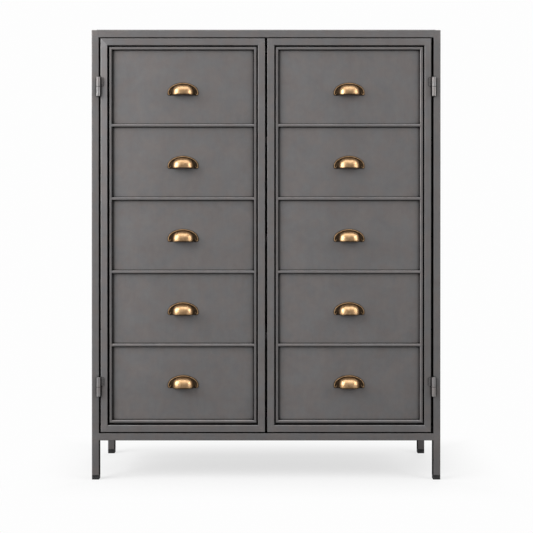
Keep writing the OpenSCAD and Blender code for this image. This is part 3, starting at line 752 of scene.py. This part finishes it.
def ovalDistance(o, x, z):
    # how far a point of the left half lies outside the oval
    overLarge = z - o["z"] > -x * math.tan(o["turn"])
    return np.where(overLarge, np.hypot(x, z - o["z"]) - o["large"], np.hypot(x + o["x"], z) - o["end"])


def flangeOval(s):
    return oval(s["halfWidth"], s["height"] - s["earRadius"], s["flangeEnd"])


def hoodLevel(s, x, z, inset=0.0):
    # 1 on the hood's foot, a superellipse: level ^ n = |x / a| ^ n + |z / c| ^ n, so it grows in step with
    # the distance from the lip's middle
    n = s["square"]
    a, c = s["hoodHalf"] - inset, s["hoodHeight"] - inset
    return ((np.abs(x) / a) ** n + (np.abs(z) / c) ** n) ** (1 / n)


def hoodReach(s, x, z, inset=0.0):
    # how far the hood stands out over a point of its foot plane: (reach / full) ^ m + level ^ m = 1
    m = s["bulge"]
    return (s["reach"] - inset) * ramp(1 - hoodLevel(s, x, z, inset) ** m) ** (1 / m)


webShare = 0.9                     # the web's points stop short of the ear, whose own arc begins there
hoodStart = 0.04                   # angle of the hood's first column, just inside its foot


def pullPaths(s):
    # left half of two paths in the x-z plane, from the lower corner of the hood to the middle of the top:
    # the flange's outline (short web, ear arc, oval), and the ray's direction from the lip's middle
    radius, earZ = s["earRadius"], s["earRadius"] - s["earDrop"]
    ear = np.array([radius - s["halfWidth"], earZ])
    corner = np.array([-s["hoodHalf"], 0.0])
    meet = -math.asin(earZ / radius)                         # where the ear crosses the lip's height
    webEnd = ear + radius * np.array([math.cos(meet), math.sin(meet)])
    web = corner + spaced(pullSteps["web"], 0, webShare)[:, None] * (webEnd - corner)
    a = spaced(pullSteps["ear"], meet, -math.pi)
    earArc = ear + radius * np.stack([np.cos(a), np.sin(a)], -1)
    over = ovalPoints(flangeOval(s), spaced(pullSteps["oval"], math.pi, math.pi / 2)[1:]) + [0.0, earZ]
    still = np.repeat([[-1.0, 0.0]], len(web) + len(earArc), 0)
    ray = np.concatenate([still, over / np.linalg.norm(over, axis=1)[:, None]])
    return np.concatenate([web, earArc, over]), ray


def mirrored(path):
    return np.concatenate([path, path[-2::-1] * np.array([-1.0, 1.0])])


def flangeSkin(s, x, z, edge, footHeight):
    # thickness of the flange and its tarnish. The thickness is that of a plate with an eased edge, plus a
    # half-round rim along its outline, sqrt(radius ^ 2 - distance ^ 2), plus a fillet up to the hood
    look = pullTarnishAndShade
    x = -np.abs(x)
    earZ, earX = s["earRadius"] - s["earDrop"], s["earRadius"] - s["halfWidth"]
    rimEar = s["earRadius"] - s["rimInset"]
    toEar = np.abs(np.hypot(x - earX, z - earZ) - rimEar)
    toEnd = np.hypot(x - earX - rimEar, z - earZ)
    toOval = np.abs(ovalDistance(flangeOval(s), x, z - earZ) + s["rimInset"])
    toRim = np.where(z < earZ, toEar, np.minimum(toOval, toEnd))
    rim = root(s["rimRadius"] ** 2 - toRim ** 2)
    toHood = np.hypot(x, z) * ramp(1 - 1 / np.maximum(hoodLevel(s, x, z), 0.1))
    into = np.clip(s["fillet"] - toHood, 0, None)
    lift = (s["fillet"] - root(s["fillet"] ** 2 - into ** 2)) * ramp(footHeight / s["filletFade"])
    ease = root(1 - ramp(1 - edge / s["edgeRound"]) ** 2)
    plate = s["flange"] * (s["edgeShare"] + (1 - s["edgeShare"]) * ease)
    outerEar = np.where(z < earZ, ramp((earX + look["earBand"] - x) / look["earBand"]), 1.0)
    crest = np.exp(-(toRim / look["rimBand"]) ** 2) * outerEar
    middle = ramp(1 + x / (look["flangeBand"] * s["halfWidth"]))
    return plate + rim + lift, 1.0 - look["rimWear"] * crest - look["flangeWear"] * middle


def hoodTarnishAndShade(s, x, z):
    # brown at the foot, which is tarnish in the hollow, with painted shade on the flanks, along the lip and on
    # the front
    look, level = pullTarnishAndShade, hoodLevel(s, x, z)
    flankSlope, flankStart = look["flank"]
    footFrom, footBand = look["foot"]
    frontFrom, frontBand = look["frontBand"]
    flank = ramp(np.abs(x) / s["hoodHalf"] * flankSlope - flankStart)
    foot = (look["footTop"] + (1 - look["footTop"]) * flank) * ramp((level - footFrom) / footBand)
    lip = look["lip"] * np.exp(-(z / look["lipBand"]) ** 2)
    front = look["front"] * ramp((frontFrom - level) / frontBand)
    return ramp(look["least"] + (foot + lip + front))


def pullGrid(s):
    # one closed skin: rows run round the outline, columns run from the back plane over the flange,
    # over the hood at a fixed x, round the lip and back along the inside
    outline, ray = (mirrored(path) for path in pullPaths(s))
    rows = len(outline)
    foot = ray / hoodLevel(s, ray[:, 0], ray[:, 1])[:, None]
    inner = ray / hoodLevel(s, ray[:, 0], ray[:, 1], s["wall"])[:, None]
    footX, footZ, innerX, innerZ = foot[:, :1], foot[:, 1:], inner[:, :1], inner[:, 1:]
    columns, tarnishAndShade = [], []

    def add(x, y, z, value):
        columns.append(np.stack(np.broadcast_arrays(x, y, z), -1))
        tarnishAndShade.append(np.broadcast_to(value, columns[-1].shape[:2]))

    q = spaced(pullSteps["flange"], 0, 1)[None, :]
    x = outline[:, :1] * (1 - q) + footX * q
    z = outline[:, 1:] * (1 - q) + footZ * q
    edge = np.linalg.norm(outline - foot, axis=1)[:, None] * q
    high, dull = flangeSkin(s, x, z, edge, footZ)
    add(outline[:, :1], np.zeros((rows, 1)), outline[:, 1:], 1.0)
    add(x, -high, z, dull)

    # the hood's upper half is nowhere lower than the flange at its foot, and its lower half nowhere lower
    # than that or the lip, whichever is less
    footHigh, lipReach = high[:, -1:], hoodReach(s, footX, 0 * footX)
    z = footZ * np.cos(spaced(pullSteps["hood"], hoodStart, math.pi / 2))[None, :]
    low = np.where(z > 0.5 * footZ, footHigh, np.minimum(footHigh, lipReach))
    add(footX, -np.maximum(hoodReach(s, footX, z), low), z, hoodTarnishAndShade(s, footX, z))

    turn = spaced(pullSteps["lip"], 0, math.pi)[None, 1:-1]
    share = (1 - np.cos(turn)) / 2
    innerReach = hoodReach(s, innerX, 0 * footX, s["wall"])
    add(footX * (1 - share) + innerX * share, -(lipReach * (1 - share) + innerReach * share),
        -np.sin(turn) * s["lipRound"] * ramp(lipReach / s["lipFade"]), pullTarnishAndShade["inside"])

    z = innerZ * np.sin(spaced(pullSteps["inside"], 0, math.pi / 2))[None, :]
    add(innerX, -hoodReach(s, innerX, z, s["wall"]), z, pullTarnishAndShade["inside"])
    points, dulls = np.concatenate(columns, 1), np.concatenate(tarnishAndShade, 1)
    return points.reshape(-1, 3), gridFaces(rows, points.shape[1], wrap=True), dulls.ravel()


def bossGrid(s, x):
    # a short post turned about the y axis: foot, side, eased rim, face
    r = np.array([0.0, 1.0, 1.0, 0.88, 0.0]) * s["bossRadius"]
    y = -np.array([0.0, 0.0, 0.94, 1.0, 1.0]) * s["bossReach"]
    a = spaced(pullSteps["boss"], 0, 2 * math.pi)[:-1, None]
    points = np.stack([x + r * np.cos(a), y + 0 * a, s["screwHeight"] + r * np.sin(a)], -1)
    rows = np.concatenate([points, points[:1]])
    return rows.reshape(-1, 3), gridFaces(len(rows), len(r))


skinPoints, skinFaces, skinTarnish = pullGrid(pullSize)
bosses = [bossGrid(pullSize, side * pullSize["screwPitch"] / 2) for side in (-1, 1)]
points, faces = joinGrids([(skinPoints, skinFaces)] + bosses)
tarnishAndShade = np.concatenate([skinTarnish] + [np.full(len(boss[0]), pullTarnishAndShade["boss"]) for boss in bosses])
pullMesh = meshFromGrid("cupPull", points, faces, sharpDegrees=50, values={"tarnishAndShade": tarnishAndShade})
for side in doorSides:
    for k in pullNumbers:
        low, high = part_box(f"{side}_pull_{k}")
        mesh = pullMesh.copy()
        mesh.transform(Matrix.Translation(((low.x + high.x) / 2, high.y, low.z + pullSize["earDrop"])))
        addPiece(f"{side}_cup_pull_{k}", mesh, side + "_door", brass, [f"{side}_pull_{k}"])
print("cup pulls:", len(pullMesh.polygons), "faces each")

# screws of the pulls

screwSize = {
    "shank": 2.0 * mm,
    "point": 0.4 * mm,             # chamfer at the shank's end
    "head": 3.8 * mm,
    "headHeight": 2.4 * mm,
    "skirt": 0.8 * mm,
    "slotHalf": 0.55 * mm,
    "slotReach": 2.3 * mm,
    "slotDepth": 1.3 * mm,
    "slotWall": 0.2 * mm,          # width over which the slot's long walls and its ends slope
    "slotEnd": 0.3 * mm,
    "above": 10.5 * mm,            # from the ends of the ears up to the screws
    "sides": 48,
    "domeSteps": 17,
}


def screwGrid(s, x, z, tip, top):
    # turned about the y axis: shank, underside of the head, its skirt and a dome, which is half an ellipse,
    # less a cross recess with sloping walls
    a = spaced(s["sides"] + 1, 0, 2 * math.pi)[:, None]
    under = top - s["headHeight"]
    shank = [0.0, s["shank"] - s["point"], s["shank"], s["shank"], s["head"]]
    r = np.concatenate([shank, spaced(s["domeSteps"], s["head"], 0)])
    dome = (s["headHeight"] - s["skirt"]) * root(1 - ramp(r[len(shank):] / s["head"]) ** 2)
    y = np.concatenate([[tip, tip, tip + s["point"], under, under], under + s["skirt"] + dome])
    u, v = np.abs(r * np.cos(a)), np.abs(r * np.sin(a))

    def slot(across, out):
        inside = ramp((s["slotHalf"] - across) / s["slotWall"] + 0.5)
        return inside * ramp((s["slotReach"] - out) / s["slotEnd"])

    cut = s["slotDepth"] * np.maximum(slot(u, v), slot(v, u)) * (np.arange(len(r)) > len(shank))
    points = np.stack([x + r * np.cos(a), y - cut, z + r * np.sin(a)], -1)
    return points.reshape(-1, 3), gridFaces(len(a), len(r))


for side in doorSides:
    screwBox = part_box(side + "_pull_screws")
    screws = []
    for k in pullNumbers:
        low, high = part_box(f"{side}_pull_{k}")
        middle, level = (low.x + high.x) / 2, low.z + screwSize["above"]
        screws += [screwGrid(screwSize, middle + s * pullSize["screwPitch"] / 2, level,
                             screwBox[0].y, screwBox[1].y) for s in (-1, 1)]
    mesh = meshFromGrid(side + "PullScrews", *joinGrids(screws), sharpDegrees=35)
    addPiece(side + "_cup_pull_screws", mesh, side + "_door", plated, [side + "_pull_screws"])
print("pull screws:", len(mesh.polygons), "faces each side")

# floor and surroundings

studio = {
    "floorHalf": 30.0,
    "shadowDepth": 0.325,          # share of the floor's brightness that shadows can take away
    "shadowReach": (-0.09, 0.26),  # distances past the cabinet's footprint between which it fades out
    "bounceShare": 0.28,           # share of the floor that throws light back at the cabinet
    "bounceReach": (0.65, 1.7),    # distances from the middle between which that fades out
    "floorWhite": 0.80,
    "shown": 0.985,                # floor and backdrop as the camera sees them
    "floorGlow": (0.30, 1.0),      # what reflections meet on the floor, by the cabinet and in front of it
    "floorGlowReach": (0.35, 1.3),
    "ambient": 0.22,               # what diffuse rays meet
    "leftGlow": 0.45,              # what reflections meet on the camera's side, to the left
    "rightGlow": 0.30,             # and to the right
    "frontReach": (-0.7, 0.5),     # a direction's x between which one passes into the other
    "sideGlow": 0.9,               # what they meet straight to the left
    "sideReach": (-0.95, -0.75),   # x between which it ends
    "backGlow": 0.9,               # what they meet behind the cabinet
    "backReach": (-0.3, 0.7),      # y between which it begins
    "topGlow": 2.3,                # and overhead
    "topReach": (0.5, 0.85),       # z between which it begins
    "aim": (0.0, 0.0, 0.75),       # of the lamps
    "lamps": {                     # place, size, watts
        "leftSoftbox": ((-3.1, -1.65, 2.15), 2.6, 170.0),
        "rightSoftbox": ((3.1, -1.65, 2.05), 2.4, 84.0),
        "topSoftbox": ((-0.2, -0.9, 3.6), 2.6, 10.0),
        "frontFill": ((-0.9, -4.8, 2.3), 4.4, 14.0),
        "backFill": ((1.2, 4.6, 2.6), 3.0, 100.0),
    },
}
pureWhite = (1.0, 1.0, 1.0, 1.0)


def mirrorRay(tree, seen):
    return calc(tree, "MAXIMUM", seen["Is Glossy Ray"], seen["Is Transmission Ray"])


def makeFloor():
    half = studio["floorHalf"]
    mesh = bpy.data.meshes.new("studioFloor")
    corners = [(-half, -half, 0), (half, -half, 0), (half, half, 0), (-half, half, 0)]
    mesh.from_pydata(corners, [], [(0, 1, 2, 3)])
    floor = bpy.data.objects.new("studioFloor", mesh)
    bpy.context.scene.collection.objects.link(floor)
    material = bpy.data.materials.new("studioFloor")
    material.use_nodes = True
    tree = material.node_tree
    tree.nodes.clear()
    seen = addNode(tree, "LightPath").outputs
    place = addNode(tree, "TexCoord").outputs["Object"]
    away = addNode(tree, "VectorMath", {0: place}, operation="LENGTH").outputs["Value"]
    aside, ahead = (calc(tree, "ABSOLUTE", axes(tree, place)[axis]) for axis in "XY")
    past = calc(tree, "MAXIMUM", calc(tree, "SUBTRACT", aside, cadBounds[1][0]),
                calc(tree, "SUBTRACT", ahead, cadBounds[1][1]))
    mirror = calc(tree, "MULTIPLY", mirrorRay(tree, seen),
                  remap(tree, ahead, *studio["floorGlowReach"], *studio["floorGlow"], smooth=True))
    shown = calc(tree, "MULTIPLY", seen["Is Camera Ray"], studio["shown"])
    matte = addNode(tree, "BsdfDiffuse", {"Color": opaque([studio["floorWhite"]] * 3)}).outputs[0]
    glow = addNode(tree, "Emission", {"Color": pureWhite, "Strength": calc(tree, "MAXIMUM", shown, mirror)})
    bounce = remap(tree, away, *studio["bounceReach"], studio["bounceShare"], 0.0, smooth=True)
    shadow = remap(tree, past, *studio["shadowReach"], studio["shadowDepth"], 0.0, smooth=True)
    share = mixValue(tree, seen["Is Camera Ray"], bounce, shadow)
    shade = addNode(tree, "MixShader", {0: share, 1: glow.outputs[0], 2: matte}).outputs[0]
    addNode(tree, "OutputMaterial", {0: shade})
    mesh.materials.append(material)


def makeWorld():
    world = bpy.data.worlds.new("studio")
    bpy.context.scene.world = world
    world.use_nodes = True
    tree = world.node_tree
    tree.nodes.clear()
    seen = addNode(tree, "LightPath").outputs
    direction = axes(tree, addNode(tree, "TexCoord").outputs["Generated"])
    glow = remap(tree, direction["X"], *studio["frontReach"], studio["leftGlow"], studio["rightGlow"],
                 smooth=True)
    glow = remap(tree, direction["X"], *studio["sideReach"], studio["sideGlow"], glow, smooth=True)
    glow = remap(tree, direction["Y"], *studio["backReach"], glow, studio["backGlow"], smooth=True)
    glow = remap(tree, direction["Z"], *studio["topReach"], glow, studio["topGlow"], smooth=True)
    level = mixValue(tree, mirrorRay(tree, seen), studio["ambient"], glow)
    level = mixValue(tree, seen["Is Camera Ray"], level, studio["shown"])
    background = addNode(tree, "Background", {"Color": pureWhite, "Strength": level}).outputs[0]
    addNode(tree, "OutputWorld", {0: background})


def makeLamps():
    for name, (place, size, watts) in studio["lamps"].items():
        data = bpy.data.lights.new(name, "AREA")
        data.shape, data.size, data.energy = "SQUARE", size, watts
        lamp = bpy.data.objects.new(name, data)
        lamp.location = place
        lamp.rotation_euler = (Vector(studio["aim"]) - Vector(place)).to_track_quat("-Z", "Y").to_euler()
        bpy.context.scene.collection.objects.link(lamp)


makeFloor()
makeWorld()
makeLamps()
print("studio: done")

# camera

eye = {
    "lens": 78.97,
    "sensor": 36.0,
    "place": (0.0012, -3.877, 0.8973),
    "downDegrees": 0.256,
    "shiftY": -0.1237,
}
cameraData = bpy.data.cameras.new("camera")
cameraData.lens, cameraData.sensor_width, cameraData.shift_y = eye["lens"], eye["sensor"], eye["shiftY"]
camera = bpy.data.objects.new("camera", cameraData)
camera.location = eye["place"]
camera.rotation_euler = (math.radians(90 - eye["downDegrees"]), 0.0, 0.0)
bpy.context.scene.collection.objects.link(camera)
bpy.context.scene.camera = camera
bpy.context.scene.view_settings.view_transform = "Standard"
